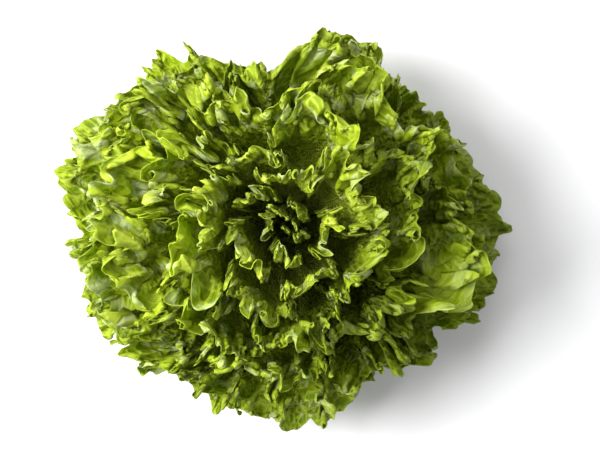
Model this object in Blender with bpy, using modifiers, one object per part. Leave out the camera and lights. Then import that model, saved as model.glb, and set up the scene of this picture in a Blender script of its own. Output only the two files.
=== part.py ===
"""Head of frilly green leaf lettuce: a cut stem and its spiral of separate leaves.

Metres, +Z up. The origin is the centre of the stem's flat cut face, on which the head stands.

The leaves never cross, because all of them are laid out in one set of nested bowls. A bowl is a
curve in the half plane beside the stem, from the stem's side to the leaf margins. Bowl 0 is the
lowest and outermost, and each higher bowl lies inside the one before it. Leaf number k lies on bowl
k, tilted a little so that one side tucks under the next leaf and the other side lies over the last.
"""

import math

import bmesh
import bpy
import numpy as np

# The head, in metres.
HEAD_REACH = 0.140          # from the stem's axis to the outermost margins, on a round head
HEAD_HEIGHT = 0.146         # the innermost margins' height, before HEART_DEPTH and HEART_RISE
HEART_DEPTH = 0.040         # how far the young leaves' margins are lowered at the heart
HEART_RISE = 0.016          # and how much of that the bowls' growth gives back
RIM_HEIGHT = 0.034          # of the outermost margins above the surface
HEART_RADIUS = 0.003        # of the innermost bowl's rim, which only the last leaf's waves reach

# The stem, and where the leaves leave it.
STEM_RADIUS = 0.017         # at the cut
STEM_HEIGHT = 0.052
LOWEST_LEAF = 0.007         # from the cut face up to the outermost leaf's base
BARE_TIP = 0.0025           # from the innermost leaf's base up to the stem's tip
BASE_GAP = 0.0006           # between a leaf's base and the stem

# The leaves' own sizes.
BASE_THICKNESS = 0.0022     # of the outermost leaf at the stem
HEART_THICKNESS = 0.0008    # of the innermost leaf at the stem
MARGIN_THICKNESS = 0.0007   # of a leaf at its margin
BASE_WIDTH = 0.024          # of the outermost leaf where it clasps the stem
HEART_WIDTH = 0.009         # of the innermost leaf there
HALF_WIDTH = 0.004          # of a flat leaf whose rim is at the axis
WIDTH_PER_RIM = 0.76        # what each metre of the rim's radius adds to that
BROADEST = 0.78             # the most that the half width may be, as a share of the length
WIDEST_ALONG = 0.60         # share of the length at which a flat leaf is widest
FAN_SIDE = 118.0            # degrees of the flat outline's arc, from its tip to its base
FULLNESS = 3.0              # 2 makes that arc an ellipse's, more fills its corners out
SPREAD = 1.25               # above 1, the leaf stays narrow for longer above its base

# The bowls' curves, as degrees above level, and a share of the straight run from end to end.
OUTMOST_LEAVE = -9.0        # slope of the outermost bowl where it leaves the stem
INMOST_LEAVE = 84.0
OUTMOST_ARRIVE = -10.0      # slope of the outermost bowl at its rim
INMOST_ARRIVE = 86.0
CUPPED = 0.40               # above 0, the bowls leave lower and arrive steeper halfway inwards
HANDLE = 0.46               # length of a curve's handles

# The order of growth.
LEAF_COUNT = 40
OUTER_COUNT = 13
MIDDLE_COUNT = 14
FIRST_AZIMUTH = 0.0
GOLDEN_ANGLE = 137.508      # degrees between one leaf and the next
WIDEST_SIDE = 40.0          # degrees that a leaf may reach either way round the stem
BOWL_SIDE = 42.5            # degrees round the stem in which a tilted leaf slips by one bowl
SLAB = 2.0                  # bowls either way that a leaf may use without meeting another
SPARE_BOWLS = 2.5           # inside the last leaf, for its waves
CROWDING = 0.40             # above 0, the bowls stand closer towards the heart
CAD_FRILL = 0.50            # the share of that room that these plain leaves' waves use

# Reach of the head's outline round the compass, as degrees from +X and a share of HEAD_REACH.
OUTLINE = (
    (0, 1.00), (32, 0.90), (52, 0.88), (72, 1.03), (92, 0.84), (126, 1.00), (160, 1.10),
    (186, 0.98), (206, 1.02), (236, 0.88), (270, 0.91), (306, 0.82), (326, 0.91), (345, 0.98),
)

LEAF_COLOURS = {
    "outer": (0.075, 0.185, 0.010, 1.0),
    "middle": (0.165, 0.330, 0.015, 1.0),
    "heart": (0.230, 0.400, 0.030, 1.0),
}
STEM_COLOUR = (0.62, 0.66, 0.38, 1.0)


def clear_scene():
    for obj in list(bpy.data.objects):
        bpy.data.objects.remove(obj, do_unlink=True)


def lerp(a, b, share):
    return a + (b - a) * share


def outline_share(azimuth):
    """Reach of the head's outline at an azimuth in degrees, easing between the OUTLINE points."""
    angles = np.array([a for a, _ in OUTLINE], float)
    shares = np.array([r for _, r in OUTLINE], float)
    angles = np.append(angles, angles[0] + 360)
    shares = np.append(shares, shares[0])
    wrapped = np.mod(azimuth - angles[0], 360) + angles[0]
    place = np.clip(np.searchsorted(angles, wrapped, side="right") - 1, 0, len(OUTLINE) - 1)
    share = (wrapped - angles[place]) / (angles[place + 1] - angles[place])
    eased = share * share * (3 - 2 * share)
    return lerp(shares[place], shares[place + 1], eased)


def stem_radius(height):
    """The stem is half an ellipsoid standing on its cut face."""
    return STEM_RADIUS * np.sqrt(np.clip(1 - (height / STEM_HEIGHT) ** 2, 0, 1))


def bowl_age(bowl):
    """0 at the outermost bowl and 1 at the innermost; the bowls stand closer towards the heart."""
    x = bowl / (LEAF_COUNT + SPARE_BOWLS)
    return x * (1 + CROWDING - CROWDING * x)


def bowl_start(age):
    """Where a bowl leaves the stem, as (radius, height)."""
    height = lerp(LOWEST_LEAF, STEM_HEIGHT - BARE_TIP, age)
    return stem_radius(height) + BASE_GAP, height


def bowl_rim(age):
    """Where a bowl's margins stand, as (radius, height)."""
    turn = 0.5 * math.pi * age
    radius = HEART_RADIUS + (HEAD_REACH - HEART_RADIUS) * np.cos(turn)
    height = lerp(RIM_HEIGHT, HEAD_HEIGHT + HEART_RISE, np.sin(turn))
    return radius, height - HEART_DEPTH * np.clip(age, 0, 2) ** 4


def bowl_point(bowl, along):
    """(radius, height) at a share along a bowl, which is a cubic curve and then a straight line."""
    age = bowl_age(bowl)
    r0, z0 = bowl_start(age)
    r3, z3 = bowl_rim(age)
    cup = CUPPED * age * (1 - age)
    leave = np.radians(lerp(OUTMOST_LEAVE, INMOST_LEAVE, age - cup))
    arrive = np.radians(lerp(OUTMOST_ARRIVE, INMOST_ARRIVE, age + 2 * cup))
    handle = HANDLE * np.hypot(r3 - r0, z3 - z0)
    r1, z1 = r0 + handle * np.cos(leave), z0 + handle * np.sin(leave)
    r2, z2 = r3 - handle * np.cos(arrive), z3 - handle * np.sin(arrive)
    t = np.clip(along, 0, 1)
    past = (along - t) * 3 * handle
    b0, b1, b2, b3 = (1 - t) ** 3, 3 * t * (1 - t) ** 2, 3 * t * t * (1 - t), t**3
    radius = b0 * r0 + b1 * r1 + b2 * r2 + b3 * r3 + past * np.cos(arrive)
    height = b0 * z0 + b1 * z1 + b2 * z2 + b3 * z3 + past * np.sin(arrive)
    return radius, height


def bowl_length(bowl):
    radius, height = bowl_point(bowl, np.linspace(0, 1, 41))
    return float(np.hypot(np.diff(radius), np.diff(height)).sum())


def leaf_size(number):
    """(length, half width) of a leaf, laid flat."""
    age = bowl_age(number)
    length = bowl_length(number)
    rim_radius, _ = bowl_rim(age)
    return length, min(BROADEST * length, HALF_WIDTH + WIDTH_PER_RIM * float(rim_radius))


def leaf_outline(side, length, half_width):
    """The frilled margin of a flat leaf, from side -1 to 1, as (across, along)."""
    turn = np.radians(FAN_SIDE) * side
    x, y = np.sin(turn), np.cos(turn)
    fuller = (np.abs(x) ** FULLNESS + np.abs(y) ** FULLNESS) ** (-1 / FULLNESS)
    middle = WIDEST_ALONG * length
    return half_width * fuller * x, middle + (length - middle) * fuller * y


def leaf_flat(number, side, out):
    """A point of the flat leaf: out is 0 at the stem and 1 at the margin. Lines of equal side fan
    out as its veins do."""
    length, half_width = leaf_size(number)
    across, along = leaf_outline(side, length, half_width)
    base = lerp(BASE_WIDTH, HEART_WIDTH, bowl_age(number))
    return 0.5 * base * side * (1 - out) ** 2 + across * out**SPREAD, along * out


def leaf_place(number, across, along, lift):
    """The place in the head of a flat leaf's point. Lift is in bowls, positive towards the heart."""
    share = along / bowl_length(number)
    radius, _ = bowl_point(number, share)
    widest = math.radians(WIDEST_SIDE)
    swing = widest * np.tanh(across / (widest * np.maximum(radius, 0.004)))
    bowl = number - swing / math.radians(BOWL_SIDE) + lift
    radius, height = bowl_point(bowl, share)
    azimuth = math.radians(FIRST_AZIMUTH + GOLDEN_ANGLE * number) + swing
    reach = lerp(1.0, outline_share(np.degrees(azimuth)), np.clip(share, 0, 1) ** 2)
    radius = radius * reach
    return np.stack([radius * np.cos(azimuth), radius * np.sin(azimuth), height], axis=-1)


def leaf_frill(side, out, waves):
    """Height of the plain leaf's waves, from -1 to 1: none at the stem, full at the margin."""
    return np.cos(math.pi * waves * (side + 1)) * np.clip((out - 0.3) / 0.7, 0, 1) ** 1.5


def material(name, colour, roughness):
    made = bpy.data.materials.new(name)
    made.use_nodes = True
    shader = made.node_tree.nodes["Principled BSDF"]
    shader.inputs["Base Color"].default_value = colour
    shader.inputs["Roughness"].default_value = roughness
    shader.inputs["Metallic"].default_value = 0.0
    return made


def add_object(name, mesh, collection, surface):
    obj = bpy.data.objects.new(name, mesh)
    collection.objects.link(obj)
    mesh.materials.append(surface)
    return obj


def make_stem(collection, surface):
    """A profile turned about Z. It runs from the top down its outer side to the cut face."""
    steps = 9
    heights = [STEM_HEIGHT * math.cos(0.5 * math.pi * i / steps) for i in range(steps + 1)]
    profile = [(float(stem_radius(z)), 0.0, z) for z in heights[1:-1]]
    profile = [(0.0, 0.0, STEM_HEIGHT), *profile, (STEM_RADIUS, 0.0, 0.0), (0.0, 0.0, 0.0)]
    mesh = bpy.data.meshes.new("stem")
    mesh.from_pydata(profile, [(i, i + 1) for i in range(len(profile) - 1)], [])
    obj = add_object("stem", mesh, collection, surface)
    screw = obj.modifiers.new("turned", "SCREW")
    screw.steps = screw.render_steps = 32
    screw.use_merge_vertices = True
    screw.merge_threshold = 0.00001
    return obj


def make_leaf(name, number, columns, rows, collection, surface):
    """A grid bent into its place, then thickened: thickest at the stem and thinnest at the margin."""
    mesh = bpy.data.meshes.new(name)
    grid = bmesh.new()
    bmesh.ops.create_grid(grid, x_segments=columns, y_segments=rows, size=1.0)
    flat = np.array([v.co for v in grid.verts])
    side, out = flat[:, 0], 0.5 * (flat[:, 1] + 1)
    across, along = leaf_flat(number, side, out)
    lift = SLAB * CAD_FRILL * leaf_frill(side, out, columns / 2)
    for vert, place in zip(grid.verts, leaf_place(number, across, along, lift)):
        vert.co = place
    bmesh.ops.recalc_face_normals(grid, faces=grid.faces)
    grid.to_mesh(mesh)
    grid.free()
    obj = add_object(name, mesh, collection, surface)
    thick = obj.vertex_groups.new(name="thick")
    for index, share in enumerate(out):
        thick.add([index], float(1 - share), "REPLACE")
    solid = obj.modifiers.new("blade", "SOLIDIFY")
    solid.thickness = lerp(BASE_THICKNESS, HEART_THICKNESS, bowl_age(number))
    solid.offset = 0.0
    solid.vertex_group = "thick"
    solid.thickness_vertex_group = min(1.0, MARGIN_THICKNESS / solid.thickness)
    return obj


def leaf_rank(number):
    """(rank name, number within the rank, columns, rows) of a leaf."""
    if number < OUTER_COUNT:
        return "outer", number + 1, 12, 5
    if number < OUTER_COUNT + MIDDLE_COUNT:
        return "middle", number - OUTER_COUNT + 1, 10, 5
    return "heart", number - OUTER_COUNT - MIDDLE_COUNT + 1, 8, 4


def main():
    clear_scene()
    collection = bpy.data.collections.new("head_of_lettuce")
    bpy.context.scene.collection.children.link(collection)
    surfaces = {rank: material(rank + "_leaf", c, 0.45) for rank, c in LEAF_COLOURS.items()}
    make_stem(collection, material("stem", STEM_COLOUR, 0.55))
    for number in range(LEAF_COUNT):
        rank, place, columns, rows = leaf_rank(number)
        name = f"{rank}_leaf_{place:02d}"
        make_leaf(name, number, columns, rows, collection, surfaces[rank])


main()
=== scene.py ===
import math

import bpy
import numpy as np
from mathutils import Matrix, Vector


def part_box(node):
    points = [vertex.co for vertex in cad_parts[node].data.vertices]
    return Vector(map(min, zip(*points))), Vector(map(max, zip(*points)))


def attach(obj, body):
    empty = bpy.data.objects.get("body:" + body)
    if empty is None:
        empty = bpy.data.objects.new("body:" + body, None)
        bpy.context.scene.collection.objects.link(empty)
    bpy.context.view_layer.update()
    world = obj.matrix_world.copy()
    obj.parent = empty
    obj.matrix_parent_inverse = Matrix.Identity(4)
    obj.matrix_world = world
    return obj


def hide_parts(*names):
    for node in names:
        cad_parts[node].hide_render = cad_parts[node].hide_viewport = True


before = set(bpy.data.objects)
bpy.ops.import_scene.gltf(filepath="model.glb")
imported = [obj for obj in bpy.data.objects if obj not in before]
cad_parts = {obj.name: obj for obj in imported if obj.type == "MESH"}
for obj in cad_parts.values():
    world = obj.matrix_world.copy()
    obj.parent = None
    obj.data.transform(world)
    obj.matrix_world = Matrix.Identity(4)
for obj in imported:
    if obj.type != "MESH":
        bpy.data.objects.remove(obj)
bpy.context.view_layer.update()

# The looks of the head of lettuce. Every leaf of the frame is replaced by a frilled one, laid out in
# the same nested bowls as the frame's plain leaves, and the stem by one with a moist cut face.
# Metres, +Z up. The origin is the centre of the cut face, on which the head stands.

# The head's layout: a bowl is a curve from the stem to the leaf margins, bowl 0 is the outermost, and
# leaf number k lies on bowl k, tilted so that it passes between its neighbours. The stem's sizes and
# the number of leaves are the frame's. The other values repeat those of the part's source.
LEAVES = [
    name
    for rank in ("outer", "middle", "heart")
    for name in sorted(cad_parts)
    if name.startswith(rank)
]
LEAF_COUNT = len(LEAVES)
STEM_RADIUS = float(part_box("stem")[1][0])
STEM_HEIGHT = float(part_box("stem")[1][2])
HEAD_REACH = 0.140
HEAD_HEIGHT = 0.146
HEART_DEPTH = 0.040
HEART_RISE = 0.016
RIM_HEIGHT = 0.034
HEART_RADIUS = 0.003
LOWEST_LEAF = 0.007
BARE_TIP = 0.0025
BASE_GAP = 0.0006
BASE_WIDTH = 0.024
HEART_WIDTH = 0.009
HALF_WIDTH = 0.004
WIDTH_PER_RIM = 0.76
BROADEST = 0.78
WIDEST_ALONG = 0.60
FAN_SIDE = 118.0
FULLNESS = 3.0
SPREAD = 1.25
OUTMOST_LEAVE, INMOST_LEAVE = -9.0, 84.0
OUTMOST_ARRIVE, INMOST_ARRIVE = -10.0, 86.0
CUPPED = 0.40
HANDLE = 0.46
FIRST_AZIMUTH = 0.0
GOLDEN_ANGLE = 137.508
WIDEST_SIDE = 40.0
BOWL_SIDE = 42.5
SLAB = 2.0
SPARE_BOWLS = 2.5
CROWDING = 0.40
OUTLINE = (
    (0, 1.00), (32, 0.90), (52, 0.88), (72, 1.03), (92, 0.84), (126, 1.00), (160, 1.10),
    (186, 0.98), (206, 1.02), (236, 0.88), (270, 0.91), (306, 0.82), (326, 0.91), (345, 0.98),
)

# How much further than the plain leaves the frills reach, round the compass.
FRILL_REACH = (
    (0, 0.96), (12, 0.96), (28, 1.05), (40, 1.00), (52, 1.04), (60, 1.00), (72, 0.975),
    (82, 0.95), (92, 0.94), (106, 1.00), (120, 0.98), (140, 1.03), (152, 0.98), (165, 1.04),
    (178, 1.02), (190, 1.07), (203, 1.00), (230, 0.98), (250, 0.97), (262, 1.01), (273, 0.98),
    (290, 1.04), (300, 1.00), (318, 1.03), (330, 0.94), (345, 1.05),
)

# Leaf blades.
BLADE = 0.00045             # thickness
EDGE = 0.00026              # thickness at the margin
RIB_WIDTH = (0.0075, 0.0012)            # the midrib's, at the stem and at the tip
RIB_HEIGHT = (0.0026, 0.0003)
COLUMNS = (64, 26)          # the outermost and innermost leaf's mesh: across, in eights
ROWS = (54, 40)             # and along
SEED = 7

# The margin's growth. A leaf "lies" if it is one of the outermost, and "stands" nearer the heart.
# Lengths along the margin are in waves, and heights are shares of the room between leaves.
WAVE = (0.027, 0.0150)      # one wave of the margin, on the outermost and the innermost leaf
LYING_TO = 0.45             # age at which no leaf lies any more
GROWTH = 1.5                # how much longer a standing leaf's margin grows than it would be flat
LYING_GROWTH = 0.5          # the same on a lying leaf
BLADE_GROWTH = 0.60         # how much longer blades grow from stem to tip
GROW_FROM = 0.66            # share of the leaf at which the growth starts
GROW_SOONER = 0.04          # by how much sooner it starts on standing leaves
ROUNDS = 90
RUFFLES = (                 # size in waves, height, pinch, start
    (2.0, 0.40, 0.05, 0.30),
    (0.80, 1.00, 0.30, 0.60),
    (0.38, 0.32, 0.25, 0.78),
    (0.19, 0.09, 0.20, 0.90),
)
LYING_RUFFLE = (1.0, 0.45, 0.45, 0.6)   # shares of those heights that lying leaves have
SOONER = (0.0, 0.00, 0.10, 0.10)        # by how much sooner they start on standing leaves
WANDER = 3.0                # how far, in radians, the ruffles' folds stray sideways
PUCKER = (0.32, 0.20)       # height of the blades' puckers, standing and lying
FLOP = 1.1                  # how far margins lean outwards
FLOP_FROM = 0.77            # share of the leaf at which they start to
HEART_CLOSE = 2.0           # bowls by which the heart's leaves lean inwards
MOST_LIFT = 1.4             # how far any fold may go towards a neighbour, in slabs
BLISTER = 0.0014            # height of the blisters on the blades

# Lobes of the margin, with depths as shares of the leaf's length.
LOBE = (0.62, 0.80)         # width in waves, standing and lying
LOBE_DEPTH = (0.018, 0.050)             # least, and how much more
LOBE_MIDDLE = (-0.052, -0.062)          # puts the lobes' middle line on the plain leaf's margin
SCALLOP = 0.21
SCALLOP_DEPTH = (0.005, 0.008)
TOOTH_DEPTH = 0.0015

# The whole head.
TWIST = 6.0                 # most degrees by which a leaf stands from its place in the spiral
SWAY = ((0.062, 0.0110, 71), (0.030, 0.0042, 81))  # size of the patches that sway, how far, seed
CROWN, CROWN_SOFT = 0.1480, 0.0020      # tips are pressed down to about this height, softly
PAINTED_SHADE_SIDE = -35.0           # azimuth of the side away from the key light, where painted shade darkens the leaves most
BUD_LEAVES = 3              # tiny ones round the growing tip, inside the last leaf

# The blade's dark and light green, its veins and base, the light that passes it, and its painted
# highlight.
LEAF_COLOURS = {
    "outer": ((0.102, 0.165, 0.001, 1), (0.250, 0.350, 0.003, 1), (0.58, 0.68, 0.07, 1),
              (0.43, 0.58, 0.003, 1), (0.59, 0.65, 0.34, 1)),
    "middle": ((0.155, 0.232, 0.001, 1), (0.325, 0.435, 0.004, 1), (0.64, 0.74, 0.09, 1),
               (0.52, 0.66, 0.004, 1), (0.59, 0.66, 0.34, 1)),
    "heart": ((0.215, 0.312, 0.002, 1), (0.41, 0.52, 0.008, 1), (0.69, 0.76, 0.13, 1),
              (0.58, 0.69, 0.006, 1), (0.52, 0.59, 0.28, 1)),
}


def lerp(a, b, share):
    return a + (b - a) * share


def ease(share):
    """0 to 1 with no corners."""
    share = np.clip(share, 0, 1)
    return share * share * (3 - 2 * share)


def outline_share(azimuth, outline=OUTLINE):
    angles = np.array([a for a, _ in outline] + [360], float)
    shares = np.array([r for _, r in outline] + [outline[0][1]], float)
    wrapped = np.mod(azimuth, 360)
    place = np.clip(np.searchsorted(angles, wrapped, side="right") - 1, 0, len(outline) - 1)
    share = (wrapped - angles[place]) / (angles[place + 1] - angles[place])
    return lerp(shares[place], shares[place + 1], ease(share))


def stem_radius(height):
    return STEM_RADIUS * np.sqrt(np.clip(1 - (height / STEM_HEIGHT) ** 2, 0, 1))


def bowl_age(bowl):
    x = bowl / (LEAF_COUNT + SPARE_BOWLS)
    return x * (1 + CROWDING - CROWDING * x)


def bowl_rim(age):
    turn = 0.5 * math.pi * age
    radius = HEART_RADIUS + (HEAD_REACH - HEART_RADIUS) * np.cos(turn)
    height = lerp(RIM_HEIGHT, HEAD_HEIGHT + HEART_RISE, np.sin(turn))
    return radius, height - HEART_DEPTH * np.clip(age, 0, 2) ** 4


def bowl_point(bowl, along):
    """(radius, height) at a share along a bowl."""
    age = bowl_age(bowl)
    z0 = lerp(LOWEST_LEAF, STEM_HEIGHT - BARE_TIP, age)
    r0 = stem_radius(z0) + BASE_GAP
    r3, z3 = bowl_rim(age)
    cup = CUPPED * age * (1 - age)
    leave = np.radians(lerp(OUTMOST_LEAVE, INMOST_LEAVE, age - cup))
    arrive = np.radians(lerp(OUTMOST_ARRIVE, INMOST_ARRIVE, age + 2 * cup))
    handle = HANDLE * np.hypot(r3 - r0, z3 - z0)
    r1, z1 = r0 + handle * np.cos(leave), z0 + handle * np.sin(leave)
    r2, z2 = r3 - handle * np.cos(arrive), z3 - handle * np.sin(arrive)
    t = np.clip(along, 0, 1)
    past = (along - t) * 3 * handle
    b0, b1, b2, b3 = (1 - t) ** 3, 3 * t * (1 - t) ** 2, 3 * t * t * (1 - t), t**3
    radius = b0 * r0 + b1 * r1 + b2 * r2 + b3 * r3 + past * np.cos(arrive)
    height = b0 * z0 + b1 * z1 + b2 * z2 + b3 * z3 + past * np.sin(arrive)
    return radius, height


def bowl_length(bowl):
    radius, height = bowl_point(bowl, np.linspace(0, 1, 41))
    return float(np.hypot(np.diff(radius), np.diff(height)).sum())


def bowl_room(bowl, along):
    """Distance across from one bowl to the next, at a share along them."""
    step = 0.25
    r0, z0 = bowl_point(bowl - step, along)
    r1, z1 = bowl_point(bowl + step, along)
    r2, z2 = bowl_point(bowl, along - 0.02)
    r3, z3 = bowl_point(bowl, along + 0.02)
    run = np.hypot(r3 - r2, z3 - z2)
    across = (r1 - r0) * (z3 - z2) - (z1 - z0) * (r3 - r2)
    return np.abs(across) / run / (2 * step)


def leaf_size(number):
    length = bowl_length(number)
    rim_radius, _ = bowl_rim(bowl_age(number))
    return length, min(BROADEST * length, HALF_WIDTH + WIDTH_PER_RIM * float(rim_radius))


def leaf_flat(number, side, out):
    """(across, along) of a point of the flat leaf: side is -1 to 1, out is 0 at the stem."""
    length, half_width = leaf_size(number)
    turn = np.radians(FAN_SIDE) * side
    x, y = np.sin(turn), np.cos(turn)
    fuller = (np.abs(x) ** FULLNESS + np.abs(y) ** FULLNESS) ** (-1 / FULLNESS)
    middle = WIDEST_ALONG * length
    across, along = half_width * fuller * x, middle + (length - middle) * fuller * y
    base = lerp(BASE_WIDTH, HEART_WIDTH, bowl_age(number))
    return 0.5 * base * side * (1 - out) ** 2 + across * out**SPREAD, along * out


def leaf_place(number, across, along, lift, turn):
    """The place in the head of a flat leaf's point. Lift is in bowls, positive towards the heart.
    Turn is how far round the stem, in degrees, the leaf stands from its place in the spiral."""
    share = along / bowl_length(number)
    radius, _ = bowl_point(number, share)
    widest = math.radians(WIDEST_SIDE - abs(turn))
    swing = widest * np.tanh(across / (widest * np.maximum(radius, 0.004))) + math.radians(turn)
    bowl = number - swing / math.radians(BOWL_SIDE) + lift
    last = LEAF_COUNT + SPARE_BOWLS - 0.4
    bowl = np.where(bowl > last - 1, last - np.exp(np.minimum(last - 1 - bowl, 0)), bowl)
    radius, height = bowl_point(bowl, share)
    azimuth = math.radians(FIRST_AZIMUTH + GOLDEN_ANGLE * number) + swing
    reach = outline_share(np.degrees(azimuth)) * outline_share(np.degrees(azimuth), FRILL_REACH)
    radius = radius * lerp(1.0, reach, np.clip(share, 0, 1) ** 2)
    height = height - CROWN_SOFT * np.logaddexp(0, (height - CROWN) / CROWN_SOFT)
    return np.stack([radius * np.cos(azimuth), radius * np.sin(azimuth), height], axis=-1)


def sway(points):
    """Pushes the whole head about a little, each place the same way for every leaf that is there,
    so that the leaves don't stand in rings."""
    x, y, z = points[..., 0], points[..., 1], points[..., 2]
    free = ease((z - 0.03) / 0.05) * lerp(1.0, 0.35, ease((np.hypot(x, y) - 0.09) / 0.05))
    moved = points.copy()
    for size, far, seed in SWAY:
        moved[..., 0] += far * free * noise(x / size, y / size + 0.3 * z / size, SEED + seed)
        moved[..., 1] += far * free * noise(x / size + 0.3 * z / size, y / size, SEED + seed + 1)
    return moved


def noise(x, y, seed):
    """Smooth random values from -1 to 1, with one hill or hollow to a unit square."""
    def corner(i, j):
        mixed = (i * 374761393 + j * 668265263 + seed * 974634777) & 0xFFFFFFFF
        mixed = ((mixed ^ (mixed >> 13)) * 1274126177) & 0xFFFFFFFF
        return ((mixed ^ (mixed >> 16)) & 0xFFFF) / 32767.5 - 1

    x, y = np.broadcast_arrays(np.asarray(x, float), np.asarray(y, float))
    i, j = np.floor(x).astype(np.int64), np.floor(y).astype(np.int64)
    u, v = ease(x - i), ease(y - j)
    low = lerp(corner(i, j), corner(i + 1, j), u)
    high = lerp(corner(i, j + 1), corner(i + 1, j + 1), u)
    return lerp(low, high, v)


def unit(vectors):
    return vectors / np.maximum(np.linalg.norm(vectors, axis=-1, keepdims=True), 1e-12)


def surface_frame(points):
    """Unit vectors along the rows and square to the surface, at each point of a grid."""
    along_row = unit(np.gradient(points, axis=1))
    normal = unit(np.cross(along_row, np.gradient(points, axis=0)))
    return along_row, normal


def ruffle(points, height, pinch, phase):
    """Adds waves that run along the rows. Pinch leans their flanks over, as a gathered hem's do."""
    along_row, normal = surface_frame(points)
    rise = height * np.sin(phase)
    lean = pinch * height * np.sin(2 * phase)
    return points + normal * rise[..., None] - along_row * lean[..., None]


def pull(points, a, b, rest, give, shorter_only=False):
    """Moves the points a and b, which share none, towards or away from each other to their rest."""
    gap = points[b] - points[a]
    length = np.sqrt((gap * gap).sum(axis=-1)) + 1e-9
    miss = length - rest
    if shorter_only:
        miss = np.minimum(miss, 0)
    move = gap * (0.5 * give * miss / length)[..., None]
    points[a] += move
    points[b] -= move


def pull_rows(points, step, rest, give, shorter_only=False):
    columns = points.shape[1]
    for start in range(2 * step):
        a = (slice(None), slice(start, columns - step, 2 * step))
        b = (slice(None), slice(start + step, columns, 2 * step))
        pull(points, a, b, rest[a], give, shorter_only)


def pull_columns(points, step, rest, give, shorter_only=False):
    rows = points.shape[0]
    for start in range(2 * step):
        a = (slice(start, rows - step, 2 * step),)
        b = (slice(start + step, rows, 2 * step),)
        pull(points, a, b, rest[a], give, shorter_only)


def pull_corners(points, rising, falling, give):
    rows, columns = points.shape[:2]
    for r in (0, 1):
        for c in (0, 1):
            low_left = (slice(r, rows - 1, 2), slice(c, columns - 1, 2))
            high_left = (slice(r + 1, rows, 2), slice(c, columns - 1, 2))
            low_right = (slice(r, rows - 1, 2), slice(c + 1, columns, 2))
            high_right = (slice(r + 1, rows, 2), slice(c + 1, columns, 2))
            pull(points, low_left, high_right, rising[low_left], give)
            pull(points, low_right, high_left, falling[low_left], give)


def grow(points, flat, wide, tall, room, fixed, rounds, soft):
    """Lets a leaf that has grown wide times wider and tall times taller than its flat shape find
    room between its neighbours. It buckles, as a real one does, into the frill."""
    row = np.linalg.norm(np.diff(flat, axis=1), axis=-1) * 0.5 * (wide[:, 1:] + wide[:, :-1])
    column = np.linalg.norm(np.diff(flat, axis=0), axis=-1) * 0.5 * (tall[1:] + tall[:-1])
    u, v = np.diff(flat, axis=1), np.diff(flat, axis=0)
    u, v = 0.5 * (u[1:] + u[:-1]), 0.5 * (v[:, 1:] + v[:, :-1])
    dot = (unit(u) * unit(v)).sum(axis=-1)
    a, b = 0.5 * (row[1:] + row[:-1]), 0.5 * (column[:, 1:] + column[:, :-1])
    rising = np.sqrt(a * a + b * b + 2 * a * b * dot)
    falling = np.sqrt(np.maximum(a * a + b * b - 2 * a * b * dot, 1e-12))
    two_rows = 0.88 * (row[:, 1:] + row[:, :-1])
    two_columns = 0.90 * (column[1:] + column[:-1])
    points, row, column, rising, falling, two_rows, two_columns, room = (
        np.array(values, np.float32)
        for values in (points, row, column, rising, falling, two_rows, two_columns, room)
    )
    held = points[:fixed].copy()
    before = points.copy()
    for _ in range(rounds):
        drift = points - before
        before = points.copy()
        points = points + 0.85 * drift
        pull_rows(points, 1, row, 0.9)
        pull_columns(points, 1, column, 0.9)
        pull_corners(points, rising, falling, 0.35)
        pull_rows(points, 2, two_rows, 0.5, shorter_only=True)
        pull_columns(points, 2, two_columns, 0.5, shorter_only=True)
        points[1:-1] += soft * (points[2:] + points[:-2] - 2 * points[1:-1])
        points[:, 1:-1] += soft * (points[:, 2:] + points[:, :-2] - 2 * points[:, 1:-1])
        rise = points[..., 2]
        points[..., 2] = np.where(np.abs(rise) > room, 0.5 * (rise + np.sign(rise) * room), rise)
        points[:fixed] = held
    return points.astype(float)


def grid_rows(rows):
    """Share along the leaf of each row, closer together towards the margin."""
    step = np.linspace(0, 1, rows)
    return (1.75 * step - 0.75 * step**2)[:, None]


def margin_run(number, side, turn, wave, seed):
    """Distance along the placed leaf's margin, stretched unevenly, at each column."""
    across, along = leaf_flat(number, side[0], 1.0)
    margin = leaf_place(number, across, along, 0.0, turn)
    strides = np.linalg.norm(np.diff(margin, axis=0), axis=-1)
    run = np.concatenate([[0], np.cumsum(strides)])[None, :]
    return run + 0.55 * wave * noise(run / (2.6 * wave), 0.3, seed + 6)


def scalloped(run, size, stray, seed, line):
    """0 to 1 round arches with sharp notches between, that vary in width."""
    return np.abs(np.sin(math.pi * (run / size + 0.9 * noise(run / (stray * size), line, seed))))


def margin_lobes(number, run, wave, lying, seed):
    """How far the margin stands out at each column, as a share of the leaf's length."""
    lobe = lerp(*LOBE, lying) * wave
    scallop = SCALLOP * wave
    broad = noise(run / (1.5 * wave), 0, seed + 1)
    cut = scalloped(run, lobe, 1.7, seed + 5, 1) ** 0.5
    bumps = scalloped(run, scallop, 2, seed + 2, 3)
    teeth = np.abs(np.sin(math.pi * (run / (0.4 * scallop) + noise(run / scallop, 5, seed + 3))))
    depth = 0.5 + 0.5 * noise(run / (1.3 * wave), 9, seed + 4)
    longer = lerp(0.07, 0.04, lying) * noise(number * 0.7, 0.5, SEED)
    lobes = lerp(*LOBE_MIDDLE, lying) + longer + 0.02 * broad
    lobes = lobes + lerp(1.0, 1.25, lying) * (LOBE_DEPTH[0] + LOBE_DEPTH[1] * depth) * cut
    bumps = (SCALLOP_DEPTH[0] + SCALLOP_DEPTH[1] * depth) * bumps
    return lobes + lerp(1.0, 0.5, lying) * bumps + TOOTH_DEPTH * teeth


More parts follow.
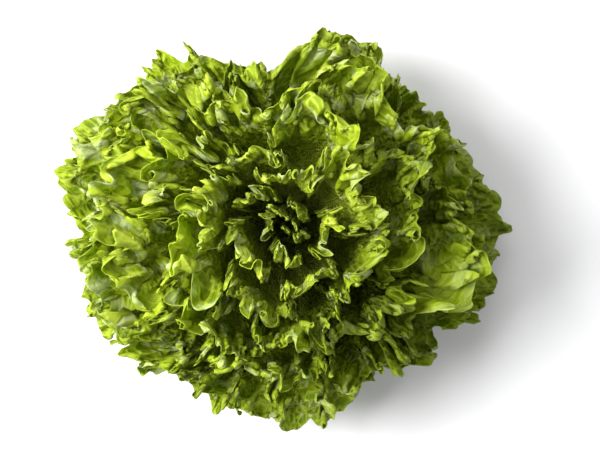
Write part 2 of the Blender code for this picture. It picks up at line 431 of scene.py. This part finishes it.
def bent(flat, out, wave, seed):
    """The flat leaf stretched unevenly, so that the folds on it wander."""
    bend = 0.26 * wave * ease((out - 0.3) / 0.5)
    cell = 0.75 * wave
    across, along = flat[..., 0], flat[..., 1]
    warped = flat.copy()
    warped[..., 0] += bend * noise(across / cell, along / cell, seed + 51)
    warped[..., 1] += bend * noise(across / cell, along / cell, seed + 52)
    return warped


def ruffled(points, run, inwards, out, most, wave, lying, seed):
    """The leaf with its ruffles: each finer set rides on the one before and starts nearer the margin."""
    for level, (size, high, pinch, start) in enumerate(RUFFLES):
        spacing = size * wave
        stray = noise(run / (1.6 * spacing), inwards / (0.75 * spacing), seed + 10 + level)
        phase = 2 * math.pi * run / spacing + WANDER * stray + math.pi * noise(0.5, level, seed)
        patches = noise(run / (1.1 * spacing), inwards / (1.0 * spacing), seed + 20 + level)
        strength = 0.85 + 0.75 * patches
        start = start - SOONER[level] * (1 - lying)
        rising = ease((out - start) / (1.0 - start)) ** 0.75
        rising = rising * lerp(1.0, LYING_RUFFLE[level], lying)
        points = ruffle(points, high * most * strength * rising, pinch, phase)
    return points


def flopped(points, run, out, most, wave, age, seed):
    """The leaf with its margin leaning outwards, or inwards in the heart."""
    flop = 0.45 + 0.75 * noise(run / (1.3 * wave), 0.5, seed + 33)
    _, normal = surface_frame(points)
    up = np.sign(normal[..., 2].mean())
    outwards = lerp(1.0, -0.6, float(ease((age - 0.70) / 0.25)))
    lean = FLOP * most * flop * ease((out - FLOP_FROM) / (1 - FLOP_FROM)) ** 1.2
    return points - outwards * up * normal * lean[..., None]


def puckered(points, flat, out, most, wave, lying, seed):
    cell = 0.45 * wave
    pucker = noise(flat[..., 0] / cell, flat[..., 1] / cell, seed + 31)
    pucker = pucker + 0.5 * noise(flat[..., 0] / (0.5 * cell), flat[..., 1] / (0.5 * cell), seed + 32)
    _, normal = surface_frame(points)
    height = lerp(*PUCKER, lying) * most * pucker * ease((out - 0.3) / 0.4)
    return points + normal * height[..., None]


def grown(points, flat, run, out, room, wave, age, lying, seed):
    """The leaf after its margin has grown and found room."""
    cell = 0.45 * wave
    grow_from = GROW_FROM - GROW_SOONER * (1 - lying)
    far = ease((out - grow_from) / (1.0 - grow_from))
    vary = 1 + 0.5 * noise(run / (0.9 * wave), 1.5 * out, seed + 61)
    wide = 1 + lerp(GROWTH, LYING_GROWTH, lying) * far * vary
    patches = noise(flat[..., 0] / cell, flat[..., 1] / cell, seed + 62)
    tall = 1 + BLADE_GROWTH * far * (1 + patches)
    fixed = int((out[:, 0] < 0.2).sum())
    spare = SLAB * (1.15 + 0.15 * ease((age - 0.5) / 0.3))
    return grow(points, flat, wide, tall, spare * room, fixed, ROUNDS, 0.04)


def blistered(placed, flat, out, age, seed):
    _, normal = surface_frame(placed)
    blister = noise(flat[..., 0] / 0.0066, flat[..., 1] / 0.0066, seed + 41)
    blister = blister + 0.4 * noise(flat[..., 0] / 0.0030, flat[..., 1] / 0.0030, seed + 42)
    swell = BLISTER * ease((out - 0.15) / 0.3) * lerp(1.0, 0.5, age)
    return placed + normal * (swell * blister)[..., None]


def make_leaf_points(number, columns, rows):
    """The leaf's middle surface as a grid of points in the head, the flat leaf's, and the share
    along it of each."""
    age = float(bowl_age(number))
    length, _ = leaf_size(number)
    seed = SEED + 31 * number
    side = np.linspace(-1, 1, columns)[None, :]
    out = grid_rows(rows)
    turn = TWIST * math.sin(2.4 * number)
    wave = lerp(*WAVE, age)
    lying = 1 - float(ease(age / LYING_TO))
    run = margin_run(number, side, turn, wave, seed)
    lobes = margin_lobes(number, run, wave, lying, seed)
    across, along = leaf_flat(number, side, out * (1 + lobes * ease((out - 0.5) / 0.5)))
    flat = np.stack([across, along, np.zeros_like(across)], axis=-1)

    share = np.clip(along / length, 0.02, 1.15)
    room = bowl_room(number, share)
    most = SLAB * float(bowl_room(number, 1.0))
    most = most * (1 + 0.25 * noise(run / (2.2 * wave), 0.7, seed + 7))
    points = bent(flat, out, wave, seed)
    points = ruffled(points, run, (1 - out) * length, out, most, wave, lying, seed)
    points = flopped(points, run, out, most, wave, age, seed)
    points = puckered(points, flat, out, most, wave, lying, seed)
    points = grown(points, flat, run, out, room, wave, age, lying, seed)

    lift = points[..., 2] / room + HEART_CLOSE * ease((age - 0.75) / 0.25) * out**2
    lift = lift / (1 + np.abs(lift / (MOST_LIFT * SLAB)) ** 4) ** 0.25
    placed = sway(leaf_place(number, points[..., 0], points[..., 1], lift, turn))
    return blistered(placed, flat, out, age, seed), flat, out + 0 * side


def leaf_faces(columns, rows, strides):
    """Quads and triangles of a grid whose inner rows use only every second or fourth column."""
    quads, triangles = [], []
    for row in range(rows - 1):
        inner, outer = strides[row], strides[row + 1]
        c = np.arange(0, columns - 1, inner)
        a, b = row * columns + c, (row + 1) * columns + c
        if inner == outer:
            quads.append(np.stack([a, a + inner, b + inner, b], axis=1))
        else:
            triangles.append(np.stack([a, b + outer, b], axis=1))
            triangles.append(np.stack([a, a + inner, b + outer], axis=1))
            triangles.append(np.stack([a + inner, b + inner, b + outer], axis=1))
    triangles = np.concatenate(triangles) if triangles else np.zeros((0, 3), int)
    return np.concatenate(quads), triangles


def build_mesh(name, points, quads, triangles, uv_quads, uv_triangles, values):
    """A smooth mesh from arrays, with its UV map and a value per point for each material input."""
    used = np.zeros(len(points), bool)
    used[quads.ravel()] = True
    used[triangles.ravel()] = True
    renumber = np.cumsum(used) - 1
    loops = np.concatenate([renumber[quads].ravel(), renumber[triangles].ravel()])
    sizes = np.concatenate([np.full(len(quads), 4), np.full(len(triangles), 3)])
    mesh = bpy.data.meshes.new(name)
    mesh.vertices.add(int(used.sum()))
    mesh.vertices.foreach_set("co", points[used].astype(np.float32).ravel())
    mesh.loops.add(len(loops))
    mesh.loops.foreach_set("vertex_index", loops.astype(np.int32))
    mesh.polygons.add(len(sizes))
    mesh.polygons.foreach_set("loop_start", (np.cumsum(sizes) - sizes).astype(np.int32))
    mesh.polygons.foreach_set("use_smooth", np.ones(len(sizes), bool))
    layer = mesh.uv_layers.new(name="OFBake")
    uvs = np.concatenate([uv_quads.reshape(-1, 2), uv_triangles.reshape(-1, 2)])
    layer.uv.foreach_set("vector", uvs.astype(np.float32).ravel())
    for key, value in values.items():
        kind = "FLOAT_VECTOR" if value.ndim == 2 else "FLOAT"
        field = "vector" if value.ndim == 2 else "value"
        made = mesh.attributes.new(key, kind, "POINT")
        made.data.foreach_set(field, value[used].astype(np.float32).ravel())
    mesh.update(calc_edges=True)
    mesh.validate()
    return mesh


def leaf_uvs(out, columns, border):
    """UVs of the upper and the lower grid side by side, and of the strip round their border."""
    side_share = np.linspace(0, 1, columns)[None, :] + 0 * out
    uv = np.stack([0.49 * side_share, 0.97 * out], axis=-1).reshape(-1, 2)
    uv = np.concatenate([uv, uv + (0.51, 0)])
    share = np.linspace(0, 1, border)
    low, high = np.full(border - 1, 0.985), np.full(border - 1, 0.999)
    ring_uv = np.stack([
        np.stack([share[:-1], low], axis=1),
        np.stack([share[1:], low], axis=1),
        np.stack([share[1:], high], axis=1),
        np.stack([share[:-1], high], axis=1),
    ], axis=1)
    return uv, ring_uv


def leaf_painted_shade_and_tone(number, middle):
    """About 0 on the head's lit side to 1 on its side away from the key light, which is painted shade.
    Some leaves are also darker than others at random, which is their own tone.
    Painted on: how much of the difference is the leaves' own colour isn't known."""
    azimuth = np.arctan2(middle[..., 1], middle[..., 0])
    far_out = ease(np.hypot(middle[..., 0], middle[..., 1]) / 0.1)
    shade = 0.45 + 0.45 * np.cos(azimuth - math.radians(PAINTED_SHADE_SIDE)) * far_out
    return shade + 0.25 * float(noise(number * 0.5, 0.5, SEED + 3))


def make_leaf(name, number, material, stands_for):
    """A closed thin blade: an upper and a lower grid joined round their border."""
    age = float(bowl_age(number))
    columns = 8 * round(lerp(*COLUMNS, age)) + 1
    rows = round(lerp(*ROWS, age))
    middle, flat, out = make_leaf_points(number, columns, rows)
    _, normal = surface_frame(middle)
    if normal[..., 2].mean() < 0:
        normal = -normal

    # The midrib stands out below, thick and broad at the stem.
    length, half_width = leaf_size(number)
    along = flat[..., 1] / length
    rib_width = lerp(*RIB_WIDTH, np.clip(along, 0, 1) ** 0.6) * lerp(1.0, 0.5, age)
    rib_height = lerp(*RIB_HEIGHT, np.clip(along, 0, 1) ** 0.5) * lerp(1.0, 0.35, age)
    on_rib = np.exp(-((flat[..., 0] / rib_width) ** 2))
    half = 0.5 * lerp(BLADE, EDGE, ease((out - 0.9) / 0.1))
    upper = middle + normal * half[..., None]
    lower = middle - normal * (half + rib_height * on_rib)[..., None]

    # The blade is meshed finely at the margin, and more coarsely towards the stem.
    strides = np.where(out[:, 0] > 0.80, 1, np.where(out[:, 0] > 0.42, 2, 4))
    quads, triangles = leaf_faces(columns, rows, strides)
    count = columns * rows
    border = np.concatenate([
        np.arange(0, columns, strides[0]),
        np.arange(1, rows) * columns + columns - 1,
        ((rows - 1) * columns + np.arange(columns - 2, -1, -1)),
        np.arange(rows - 2, -1, -1) * columns,
    ])
    ring = np.stack([border[:-1], border[1:], border[1:] + count, border[:-1] + count], axis=1)
    uv, ring_uv = leaf_uvs(out, columns, len(border))
    turned_quads, turned_triangles = quads[:, ::-1] + count, triangles[:, ::-1] + count
    all_quads = np.concatenate([quads, turned_quads, ring[:, ::-1]])
    all_triangles = np.concatenate([triangles, turned_triangles])
    uv_quads = np.concatenate([uv[quads], uv[turned_quads], ring_uv[:, ::-1]])
    diagonals = np.cross(upper[1, 1] - upper[0, 0], upper[1, 0] - upper[0, 1])
    if diagonals.dot(normal[0, 0]) > 0:
        all_quads, all_triangles = all_quads[:, ::-1], all_triangles[:, ::-1]
        uv_quads = uv_quads[:, ::-1]

    # The strong veins are cells in a space where they run from the base out to the margin.
    side = np.linspace(-1, 1, columns)[None, :] + 0 * out
    fan = np.stack([side * 260.0 * half_width, 20.0 * out**2 * length, 0 * out], axis=-1)
    values = {
        "leaf_flat": np.tile(flat.reshape(-1, 3), (2, 1)),
        "leaf_fan": np.tile(fan.reshape(-1, 3), (2, 1)),
        "leaf_rib": np.tile(on_rib.ravel() * (1 - np.clip(along, 0, 1).ravel()), 2),
        "leaf_under": np.repeat((0.0, 1.0), out.size),
        "leaf_painted_shade_and_tone": np.tile(leaf_painted_shade_and_tone(number, middle).ravel(), 2),
        "leaf_out": np.tile(out.ravel(), 2),
    }
    points = np.concatenate([upper.reshape(-1, 3), lower.reshape(-1, 3)])
    mesh = build_mesh(name, points, all_quads, all_triangles, uv_quads, uv[all_triangles], values)
    obj = bpy.data.objects.new(name, mesh)
    bpy.context.scene.collection.objects.link(obj)
    mesh.materials.append(material)
    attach(obj, "root")
    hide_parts(stands_for)
    return obj


class Tree:
    """Short ways to add and join a material's nodes."""

    def __init__(self, name):
        self.material = bpy.data.materials.new(name)
        self.material.use_nodes = True
        self.nodes = self.material.node_tree.nodes
        self.links = self.material.node_tree.links
        self.shader = self.nodes["Principled BSDF"]
        self.output = self.nodes["Material Output"]

    def put(self, socket, value):
        if isinstance(value, bpy.types.NodeSocket):
            self.links.new(value, socket)
        else:
            socket.default_value = value

    def value(self, name, kind="Fac"):
        node = self.nodes.new("ShaderNodeAttribute")
        node.attribute_name = name
        return node.outputs[kind]

    def math(self, operation, a, b=0.0, c=0.0):
        node = self.nodes.new("ShaderNodeMath")
        node.operation = operation
        for socket, value in zip(node.inputs, (a, b, c)):
            self.put(socket, value)
        return node.outputs[0]

    def ramp(self, value, low, high, to_low=0.0, to_high=1.0):
        node = self.nodes.new("ShaderNodeMapRange")
        node.interpolation_type = "SMOOTHSTEP"
        for socket, given in zip(node.inputs, (value, low, high, to_low, to_high)):
            self.put(socket, given)
        return node.outputs["Result"]

    def noise(self, place, scale, detail=2.0, roughness=0.5, distortion=0.0):
        node = self.nodes.new("ShaderNodeTexNoise")
        self.put(node.inputs["Vector"], place)
        node.inputs["Scale"].default_value = scale
        node.inputs["Detail"].default_value = detail
        node.inputs["Roughness"].default_value = roughness
        node.inputs["Distortion"].default_value = distortion
        return node.outputs["Fac"]

    def cells(self, place, scale):
        """Distance from the nearest border between random cells."""
        node = self.nodes.new("ShaderNodeTexVoronoi")
        node.feature = "DISTANCE_TO_EDGE"
        self.put(node.inputs["Vector"], place)
        node.inputs["Scale"].default_value = scale
        return node.outputs["Distance"]

    def mix(self, share, a, b, blend="MIX"):
        node = self.nodes.new("ShaderNodeMix")
        node.data_type = "RGBA"
        node.blend_type = blend
        self.put(node.inputs["Factor"], share)
        self.put(node.inputs[6], a)
        self.put(node.inputs[7], b)
        return node.outputs[2]

    def bump(self, height, distance, strength):
        node = self.nodes.new("ShaderNodeBump")
        node.inputs["Strength"].default_value = strength
        node.inputs["Distance"].default_value = distance
        self.links.new(height, node.inputs["Height"])
        return node.outputs["Normal"]


def make_leaf_material(name, dark, light, pale, through, painted_highlight_colour):
    """Dark and light are the blade's two greens, pale its veins and base, through the light that
    passes the blade, and the last colour is that of the pale patches of painted highlight."""
    t = Tree(name)
    flat = t.value("leaf_flat", "Vector")
    fan = t.value("leaf_fan", "Vector")
    out = t.value("leaf_out")
    under = t.value("leaf_under")

    # Greens: broad patches, and a mottle inside them.
    broad = t.ramp(t.noise(flat, 32.0, 2.0), 0.35, 0.65)
    mottle = t.noise(flat, 160.0, 4.0, 0.6)
    tone = t.ramp(t.math("ADD", t.math("MULTIPLY", broad, 0.55), mottle), 0.45, 1.05)
    colour = t.mix(tone, dark, light)
    sallow = t.ramp(t.noise(flat, 19.0, 3.0, 0.6), 0.60, 0.74, 0.0, 0.45)
    colour = t.mix(t.math("MULTIPLY", sallow, t.ramp(out, 0.6, 1.0)), colour, (0.30, 0.26, 0.015, 1))

    # Veins: strong ones that fan out from the base, and a net of fine ones between them.
    strong = t.cells(fan, 1.0)
    strong = t.math("MULTIPLY", t.ramp(strong, 0.0, 0.07, 1.0, 0.0), t.ramp(out, 0.55, 1.0, 1.0, 0.35))
    net = t.ramp(t.cells(flat, 230.0), 0.0, 0.17, 1.0, 0.0)
    fine = t.ramp(t.cells(flat, 900.0), 0.0, 0.2, 1.0, 0.0)
    veins = t.math("MAXIMUM", t.math("MULTIPLY", strong, 0.85), t.math("MULTIPLY", net, 0.50))
    veins = t.math("MAXIMUM", veins, t.math("MULTIPLY", fine, 0.12))
    colour = t.mix(veins, colour, pale)
    base = t.ramp(out, 0.10, 0.55, 0.9, 0.0)
    rib = t.value("leaf_rib")
    colour = t.mix(t.math("MAXIMUM", base, t.math("MULTIPLY", rib, 0.8)), colour, pale)
    # The margin is painted lighter: a painted highlight where the thin edge catches the light.
    painted_edge_highlight = t.ramp(out, 0.985, 1.0, 0.0, 0.32)
    colour = t.mix(painted_edge_highlight, colour, (0.42, 0.52, 0.06, 1))
    colour = t.mix(t.math("MULTIPLY", under, 0.30), colour, pale)
    # Painted shade darkens the leaves on the head's side away from the key light; some leaves are also
    # darker at random.
    shaded = t.mix(1.0, colour, (0.64, 0.66, 0.60, 1), "MULTIPLY")
    shade = t.ramp(t.value("leaf_painted_shade_and_tone"), 0.25, 0.95)
    colour = t.mix(shade, colour, shaded)

    # Painted highlights lie in pale patches on the frills, most on the head's lit side, broken up by the
    # blisters.
    patches = t.ramp(t.noise(flat, 75.0, 4.0, 0.6), 0.53, 0.61)
    broken = t.ramp(t.noise(flat, 520.0, 3.0, 0.7), 0.32, 0.60, 0.30, 1.0)
    painted_highlight = t.math("MULTIPLY", t.math("MULTIPLY", patches, t.ramp(out, 0.60, 0.82)), broken)
    painted_highlight = t.math("MULTIPLY", painted_highlight, t.ramp(shade, 0.0, 1.0, 0.95, 0.25))
    colour = t.mix(painted_highlight, colour, painted_highlight_colour)
    t.put(t.shader.inputs["Base Color"], colour)

    # Blisters stand up between the veins.
    cushions = t.ramp(t.cells(flat, 230.0), 0.0, 0.5)
    grain = t.noise(flat, 420.0, 3.0, 0.6)
    height = t.math("ADD", cushions, t.math("MULTIPLY", grain, 0.8))
    height = t.math("SUBTRACT", height, t.math("MULTIPLY", strong, 0.9))
    normal = t.bump(height, 0.0016, 0.9)
    t.put(t.shader.inputs["Normal"], normal)
    gloss = t.ramp(t.noise(flat, 70.0, 3.0, 0.6), 0.3, 0.7, 0.38, 0.55)
    t.put(t.shader.inputs["Roughness"], gloss)
    t.shader.inputs["Specular IOR Level"].default_value = 0.32
    t.shader.inputs["Specular Tint"].default_value = (0.82, 1.0, 0.22, 1)
    t.shader.inputs["Coat Weight"].default_value = 0.12
    t.shader.inputs["Coat Roughness"].default_value = 0.26
    t.put(t.shader.inputs["Coat Normal"], normal)

    passing = t.nodes.new("ShaderNodeBsdfTranslucent")
    t.put(passing.inputs["Color"], t.mix(0.35, through, colour))
    t.put(passing.inputs["Normal"], normal)
    mixed = t.nodes.new("ShaderNodeMixShader")
    t.put(mixed.inputs["Fac"], t.ramp(out, 0.45, 0.95, 0.14, 0.38))
    t.links.new(t.shader.outputs["BSDF"], mixed.inputs[1])
    t.links.new(passing.outputs["BSDF"], mixed.inputs[2])
    t.links.new(mixed.outputs["Shader"], t.output.inputs["Surface"])
    return t.material


def make_stem(material):
    """The stem: a low dome whose cut face is slightly hollow, with the leaf scars low on its side."""
    columns, rows = 96, 40
    turn = np.linspace(0, 2 * math.pi, columns, endpoint=False)[None, :]
    height = (np.linspace(0, 1, rows) ** 1.2)[:, None] * 0.985 * STEM_HEIGHT
    wobble = 0.0004 * noise(3 + 2.2 * np.cos(turn), 3 + 2.2 * np.sin(turn) + height * 90, SEED + 2)
    scar = 0.0003 * np.sin(8 * turn + height * 900) * ease((STEM_HEIGHT - height) / 0.02)
    radius = stem_radius(height) - 0.0009 + wobble + scar - 0.0012 * ease(1 - height / 0.0012)
    side = np.stack([radius * np.cos(turn), radius * np.sin(turn), height + 0 * turn], axis=-1)
    rings = [0.93, 0.8, 0.62, 0.42, 0.2]
    face = []
    for share in rings:
        r = radius[0] * share
        x, y = r * np.cos(turn[0]), r * np.sin(turn[0])
        dip = 0.0007 * (1 - share**2) + 0.00015 * noise(900 * x, 900 * y, 5)
        face.append(np.stack([x, y, np.maximum(dip, 0)], axis=-1))
    grid = np.concatenate([np.array(face[::-1]), side])
    lines = grid.shape[0]
    points = np.concatenate([grid.reshape(-1, 3), [[0, 0, 0.0007], [0, 0, STEM_HEIGHT]]])
    c = np.arange(columns)
    d = (c + 1) % columns
    quads = np.concatenate([
        np.stack([c, d, columns + d, columns + c], axis=1) + line * columns
        for line in range(lines - 1)
    ])
    low, top, last = len(points) - 2, len(points) - 1, (lines - 1) * columns
    triangles = np.concatenate([
        np.stack([d, c, np.full(columns, low)], axis=1),
        np.stack([last + c, last + d, np.full(columns, top)], axis=1),
    ])
    u = np.linspace(0, 1, columns + 1)
    v = 0.02 + 0.96 * np.arange(lines) / (lines - 1)
    uv_quads = np.concatenate([
        np.stack([
            np.stack([u[:-1], np.full(columns, v[r])], axis=1),
            np.stack([u[1:], np.full(columns, v[r])], axis=1),
            np.stack([u[1:], np.full(columns, v[r + 1])], axis=1),
            np.stack([u[:-1], np.full(columns, v[r + 1])], axis=1),
        ], axis=1)
        for r in range(lines - 1)
    ])
    middle = 0.5 * (u[1:] + u[:-1])
    uv_triangles = np.concatenate([
        np.stack([np.stack([u[1:], np.full(columns, v[0])], axis=1),
                  np.stack([u[:-1], np.full(columns, v[0])], axis=1),
                  np.stack([middle, np.full(columns, 0.0)], axis=1)], axis=1),
        np.stack([np.stack([u[:-1], np.full(columns, v[-1])], axis=1),
                  np.stack([u[1:], np.full(columns, v[-1])], axis=1),
                  np.stack([middle, np.full(columns, 1.0)], axis=1)], axis=1),
    ])
    cut = np.concatenate([np.ones((len(rings) + 1) * columns), np.zeros((rows - 1) * columns), [1, 0]])
    values = {"stem_place": points, "stem_cut": cut}
    mesh = build_mesh("cut_stem", points, quads, triangles, uv_quads, uv_triangles, values)
    mesh.materials.append(material)
    stem = bpy.data.objects.new("cut_stem", mesh)
    bpy.context.scene.collection.objects.link(stem)
    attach(stem, "root")
    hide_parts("stem")


def make_stem_material():
    """Pale flesh, with browned sap and a ring of vessels on the cut face."""
    t = Tree("stem")
    place = t.value("stem_place", "Vector")
    cut = t.value("stem_cut")
    apart = t.nodes.new("ShaderNodeSeparateXYZ")
    t.put(apart.inputs[0], place)
    radius = t.math("SQRT", t.math("ADD", t.math("POWER", apart.outputs[0], 2.0),
                                   t.math("POWER", apart.outputs[1], 2.0)))
    mottle = t.noise(place, 260.0, 4.0, 0.6)
    flesh = t.mix(mottle, (0.60, 0.66, 0.34, 1), (0.78, 0.80, 0.55, 1))
    green = t.ramp(apart.outputs[2], 0.004, 0.035)
    side = t.mix(green, flesh, (0.50, 0.64, 0.18, 1))
    browned = t.ramp(t.noise(place, 150.0, 5.0, 0.65, 0.6), 0.40, 0.72, 0.1, 0.75)
    face = t.mix(browned, (0.70, 0.66, 0.42, 1), (0.33, 0.17, 0.06, 1))
    ring = t.math("ABSOLUTE", t.math("SUBTRACT", radius, 0.0108))
    on_ring = t.ramp(ring, 0.0006, 0.0022, 1.0, 0.0)
    dots = t.math("MULTIPLY", on_ring, t.ramp(t.noise(place, 900.0, 2.0), 0.4, 0.6))
    face = t.mix(t.math("MULTIPLY", dots, 0.7), face, (0.30, 0.20, 0.07, 1))
    rim = t.ramp(radius, 0.0135, 0.0160)
    face = t.mix(t.math("MULTIPLY", rim, 0.6), face, (0.40, 0.24, 0.09, 1))
    t.put(t.shader.inputs["Base Color"], t.mix(cut, side, face))
    wet = t.ramp(mottle, 0.3, 0.7, 0.25, 0.5)
    t.put(t.shader.inputs["Roughness"], wet)
    grain = t.math("ADD", mottle, t.math("MULTIPLY", t.cells(place, 700.0), 0.8))
    t.put(t.shader.inputs["Normal"], t.bump(grain, 0.0005, 0.7))
    t.shader.inputs["Subsurface Weight"].default_value = 0.15
    t.shader.inputs["Subsurface Radius"].default_value = (0.004, 0.004, 0.002)
    return t.material


def make_stage():
    """A plain pale floor."""
    mesh = bpy.data.meshes.new("floor")
    reach = 4.0
    mesh.from_pydata([(-reach, -reach, 0), (reach, -reach, 0), (reach, reach, 0), (-reach, reach, 0)],
                     [], [(0, 1, 2, 3)])
    floor = bpy.data.objects.new("floor", mesh)
    bpy.context.scene.collection.objects.link(floor)
    t = Tree("floor")
    place = t.nodes.new("ShaderNodeTexCoord").outputs["Object"]
    clouds = t.noise(place, 7.0, 3.0)
    t.put(t.shader.inputs["Base Color"], t.mix(clouds, (0.71, 0.71, 0.72, 1), (0.73, 0.73, 0.74, 1)))
    t.put(t.shader.inputs["Roughness"], t.ramp(clouds, 0.3, 0.7, 0.66, 0.74))
    mesh.materials.append(t.material)


def add_area_light(name, place, size, watts, aim=(0, 0, 0.06)):
    data = bpy.data.lights.new(name, "AREA")
    data.shape = "DISK"
    data.size = size
    data.energy = watts
    light = bpy.data.objects.new(name, data)
    bpy.context.scene.collection.objects.link(light)
    light.location = place
    light.rotation_euler = (Vector(aim) - Vector(place)).to_track_quat("-Z", "Y").to_euler()


def make_camera():
    """Straight above, as the head was seen."""
    data = bpy.data.cameras.new("camera")
    camera = bpy.data.objects.new("camera", data)
    bpy.context.scene.collection.objects.link(camera)
    height = 1.30           # of the camera, which looks straight down
    level = 0.075           # of the frills, where the view is measured
    seen = 0.381            # how wide it is there
    data.sensor_width = 36.0
    data.lens = 36.0 * (height - level) / seen
    camera.location = (0.0102, 0.0044, height)
    camera.rotation_euler = (0, 0, 0)
    bpy.context.scene.camera = camera


def main():
    make_camera()
    make_stage()
    add_area_light("key", (-1.00, 0.12, 1.04), 1.15, 55.0)
    add_area_light("fill", (-0.15, 1.0, 1.0), 1.0, 8.0)
    world = bpy.data.worlds.new("studio")
    world.use_nodes = True
    world.node_tree.nodes["Background"].inputs["Color"].default_value = (1, 1, 1, 1)
    world.node_tree.nodes["Background"].inputs["Strength"].default_value = 0.61
    bpy.context.scene.world = world
    bpy.context.scene.view_settings.view_transform = "Standard"

    materials = {
        rank: make_leaf_material(rank + "_leaf", *colours) for rank, colours in LEAF_COLOURS.items()
    }
    for number, name in enumerate(LEAVES):
        rank = name.split("_")[0]
        leaf = make_leaf("frilled_" + name, number, materials[rank], name)
    for number in range(LEAF_COUNT, LEAF_COUNT + BUD_LEAVES):
        leaf = make_leaf(f"bud_leaf_{number - LEAF_COUNT + 1}", number, materials["heart"], "stem")
    make_stem(make_stem_material())


main()
